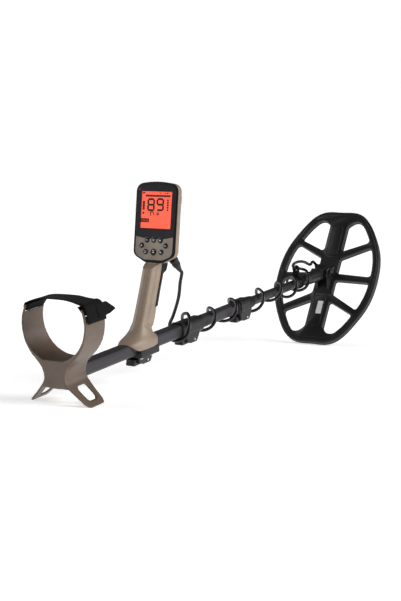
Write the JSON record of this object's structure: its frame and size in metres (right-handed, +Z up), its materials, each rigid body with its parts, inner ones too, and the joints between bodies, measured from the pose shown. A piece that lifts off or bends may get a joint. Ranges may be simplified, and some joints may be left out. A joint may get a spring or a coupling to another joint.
{
  "type": "metal detector",
  "caption": "Walking-style metal detector with forearm rest and strap, upright grip and display pod, telescopic shaft with cam locks, coiled cable and open-spoked oval search coil.",
  "frame": {"origin": "centre of the bounding box at floor level, with the armrest's feet and the coil's heel standing on Z = 0", "axes": "+X from the armrest to the coil, +Y to the user's left, +Z up"},
  "size_m": [1.0408, 0.228, 0.3301],
  "materials": {
    "tube_anodised": "dark grey anodised aluminium, satin",
    "tube_composite": "dark grey fibre composite, satin",
    "black_plastic": "black glass-filled nylon, fine matt texture",
    "black_rubber": "black rubber, matt",
    "brown_plastic": "brown moulded plastic, satin",
    "tan_plastic": "tan grey moulded plastic, satin",
    "keypad_film": "tan grey keypad film with a fine pattern",
    "screen_window": "clear acrylic window with a dark printed border",
    "lit_display": "orange backlit liquid crystal display",
    "bare_steel": "bare steel",
    "strap_webbing": "black woven strap with hook and loop",
    "cable_jacket": "black cable jacket",
    "circuit_laminate": "green circuit board",
    "cell_wrap": "blue cell wrap",
    "copper_winding": "enamelled copper wire",
    "label_film": "plain white film label",
    "skid_plastic": "black wear-resistant plastic"
  },
  "bodies": {
    "upper_shaft": {"upper_tube": "tube_anodised", "tube_end_cap": "black_plastic", "armrest": "brown_plastic", "armrest_screws": "bare_steel", "arm_strap": "strap_webbing", "upper_cam_collar": "black_plastic", "upper_cam_pin": "bare_steel", "upper_cable_run": "cable_jacket"},
    "handle": {"grip_left": "tan_plastic", "grip_right": "tan_plastic", "grip_front_insert": "black_rubber", "grip_screws": "bare_steel", "handle_clamp": "black_plastic", "clamp_screws": "bare_steel", "handle_cam_pin": "bare_steel", "front_bezel": "black_plastic", "display_lens": "screen_window", "display_panel": "lit_display", "keypad_panel": "keypad_film", "pod_gasket": "black_rubber", "rear_housing": "tan_plastic", "back_cover": "black_plastic", "circuit_board": "circuit_laminate", "battery_cell": "cell_wrap", "speaker": "bare_steel", "pod_screws": "bare_steel", "cable_socket": "bare_steel", "cable_plug": "black_plastic", "pod_cable_run": "cable_jacket"},
    "handle_lever": {"handle_cam_lever": "black_plastic"},
    "upper_lever": {"upper_cam_lever": "black_plastic"},
    "middle_shaft": {"middle_tube": "tube_anodised", "middle_guide_bush": "black_plastic", "lower_cam_collar": "black_plastic", "lower_cam_pin": "bare_steel", "middle_cable_run": "cable_jacket"},
    "lower_lever": {"lower_cam_lever": "black_plastic"},
    "lower_shaft": {"lower_tube": "tube_composite", "lower_guide_bush": "black_plastic", "yoke": "black_plastic", "friction_washers": "black_rubber", "cable_tie": "strap_webbing", "lower_cable_run": "cable_jacket"},
    "coil": {"coil_upper_shell": "black_plastic", "coil_skid_plate": "skid_plastic", "transmit_winding": "copper_winding", "receive_winding": "copper_winding", "pivot_bolt": "black_plastic", "pivot_nut": "black_plastic", "coil_label": "label_film", "strain_relief": "black_rubber"},
    "power_button": {"power_button": "black_plastic"},
    "key_1": {"key_1": "black_rubber"},
    "key_2": {"key_2": "black_rubber"},
    "key_3": {"key_3": "black_rubber"},
    "key_4": {"key_4": "black_rubber"},
    "key_5": {"key_5": "black_rubber"},
    "key_6": {"key_6": "black_rubber"},
    "key_7": {"key_7": "black_rubber"},
    "key_8": {"key_8": "black_rubber"}
  },
  "joints": [
    {"name": "handle_slide", "type": "slide", "parent": "upper_shaft", "child": "handle", "axis": [0.9933, 0, 0.1158], "range_m": [-0.03, 0.03], "deforming": ["pod_cable_run"]},
    {"name": "handle_lever_hinge", "type": "hinge", "parent": "handle", "child": "handle_lever", "pos_m": [-0.27989, 0, 0.04284], "axis": [0, -1, 0], "range_deg": [0, 100]},
    {"name": "upper_lever_hinge", "type": "hinge", "parent": "upper_shaft", "child": "upper_lever", "pos_m": [-0.13104, 0, 0.06139], "axis": [0, -1, 0], "range_deg": [0, 100]},
    {"name": "middle_slide", "type": "slide", "parent": "upper_shaft", "child": "middle_shaft", "axis": [0.9933, 0, 0.1158], "range_m": [-0.1, 0.2], "deforming": ["upper_cable_run"]},
    {"name": "lower_lever_hinge", "type": "hinge", "parent": "middle_shaft", "child": "lower_lever", "pos_m": [0.06066, 0, 0.08374], "axis": [0, -1, 0], "range_deg": [0, 100]},
    {"name": "lower_slide", "type": "slide", "parent": "middle_shaft", "child": "lower_shaft", "axis": [0.9933, 0, 0.1158], "range_m": [-0.155, 0.185], "deforming": ["middle_cable_run"]},
    {"name": "coil_tilt", "type": "hinge", "parent": "lower_shaft", "child": "coil", "pos_m": [0.41775, 0, 0.1469], "axis": [0, 1, 0], "range_deg": [-70, 50], "deforming": ["lower_cable_run"]},
    {"name": "key_1_press", "type": "slide", "parent": "handle", "child": "key_1", "axis": [0.9981, 0, -0.062], "range_m": [0, 0.0008], "stiffness_N_per_m": 1500, "springref_m": -0.0004},
    {"name": "key_2_press", "type": "slide", "parent": "handle", "child": "key_2", "axis": [0.9981, 0, -0.062], "range_m": [0, 0.0008], "stiffness_N_per_m": 1500, "springref_m": -0.0004},
    {"name": "key_3_press", "type": "slide", "parent": "handle", "child": "key_3", "axis": [0.9981, 0, -0.062], "range_m": [0, 0.0008], "stiffness_N_per_m": 1500, "springref_m": -0.0004},
    {"name": "key_4_press", "type": "slide", "parent": "handle", "child": "key_4", "axis": [0.9981, 0, -0.062], "range_m": [0, 0.0008], "stiffness_N_per_m": 1500, "springref_m": -0.0004},
    {"name": "key_5_press", "type": "slide", "parent": "handle", "child": "key_5", "axis": [0.9981, 0, -0.062], "range_m": [0, 0.0008], "stiffness_N_per_m": 1500, "springref_m": -0.0004},
    {"name": "key_6_press", "type": "slide", "parent": "handle", "child": "key_6", "axis": [0.9981, 0, -0.062], "range_m": [0, 0.0008], "stiffness_N_per_m": 1500, "springref_m": -0.0004},
    {"name": "key_7_press", "type": "slide", "parent": "handle", "child": "key_7", "axis": [0.9981, 0, -0.062], "range_m": [0, 0.0008], "stiffness_N_per_m": 1500, "springref_m": -0.0004},
    {"name": "key_8_press", "type": "slide", "parent": "handle", "child": "key_8", "axis": [0.9981, 0, -0.062], "range_m": [0, 0.0008], "stiffness_N_per_m": 1500, "springref_m": -0.0004},
    {"name": "power_press", "type": "slide", "parent": "handle", "child": "power_button", "axis": [0, 1, 0], "range_m": [0, 0.0006], "stiffness_N_per_m": 1500, "springref_m": -0.0004}
  ]
}
